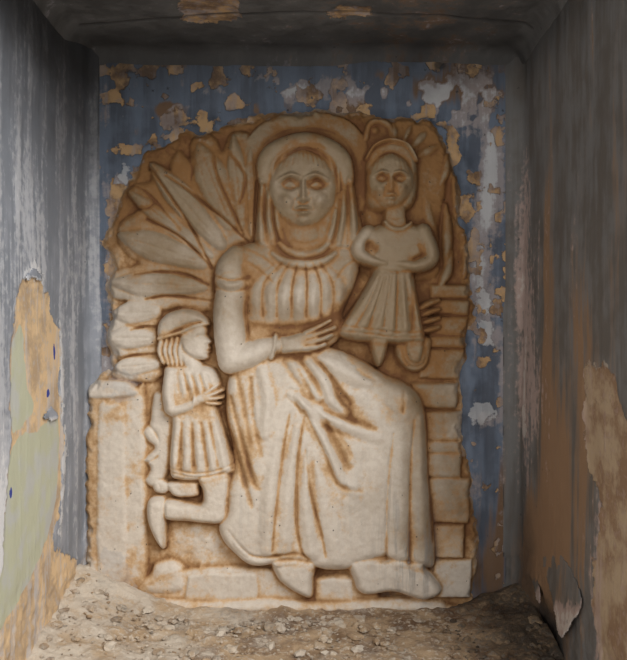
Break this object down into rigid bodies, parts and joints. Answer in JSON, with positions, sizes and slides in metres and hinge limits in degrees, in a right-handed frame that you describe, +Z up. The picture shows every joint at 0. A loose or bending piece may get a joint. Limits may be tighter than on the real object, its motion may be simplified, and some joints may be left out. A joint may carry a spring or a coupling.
{
  "type": "shrine niche with carved relief",
  "caption": "Plastered masonry niche of a wayside shrine, holding a carved stone relief of a seated veiled woman with a standing child and a kneeling child.",
  "frame": {"origin": "middle of the underside of the block", "axes": "+X to the right of someone who looks into the niche, +Y into the niche, +Z up"},
  "size_m": [0.948, 0.593, 1.075],
  "materials": {
    "masonry": "rubble and lime mortar, rough",
    "sill_stone": "cut sandstone, worn",
    "blue_plaster": "lime plaster with old blue distemper in several coats, peeling",
    "grey_plaster": "smoke-grey lime plaster",
    "limewash": "lime render with worn limewash",
    "mortar": "coarse lime mortar with grit",
    "carved_stone": "carved cream limestone with ochre stain in the hollows"
  },
  "bodies": {
    "root": {"footing_course": "masonry", "sill_slab": "sill_stone", "left_cheek": "masonry", "right_cheek": "masonry", "back_wall": "masonry", "lintel_slab": "masonry", "left_plaster": "blue_plaster", "right_plaster": "blue_plaster", "ceiling_plaster": "grey_plaster", "back_plaster_left": "blue_plaster", "back_plaster_right": "blue_plaster", "back_plaster_top": "blue_plaster", "side_covings": "blue_plaster", "ceiling_coving": "grey_plaster", "left_side_render": "limewash", "right_side_render": "limewash", "back_render": "limewash", "left_jamb_render": "limewash", "right_jamb_render": "limewash", "head_render": "limewash", "apron_render": "limewash", "mortar_bed": "mortar", "corner_mortar": "mortar", "relief_joint": "mortar", "relief_slab": "carved_stone", "relief_ledge": "carved_stone", "pilaster": "carved_stone", "shrub": "carved_stone", "leaf_fan": "carved_stone", "halo_band": "carved_stone", "child_leaves": "carved_stone", "throne_courses": "carved_stone", "woman_head": "carved_stone", "woman_veil": "carved_stone", "woman_bodice": "carved_stone", "woman_near_arm": "carved_stone", "woman_far_hand": "carved_stone", "woman_robe": "carved_stone", "woman_feet": "carved_stone", "child_head": "carved_stone", "child_dress": "carved_stone", "child_limbs": "carved_stone", "kneeler_head": "carved_stone", "kneeler_dress": "carved_stone", "kneeler_limbs": "carved_stone"}
  },
  "joints": []
}
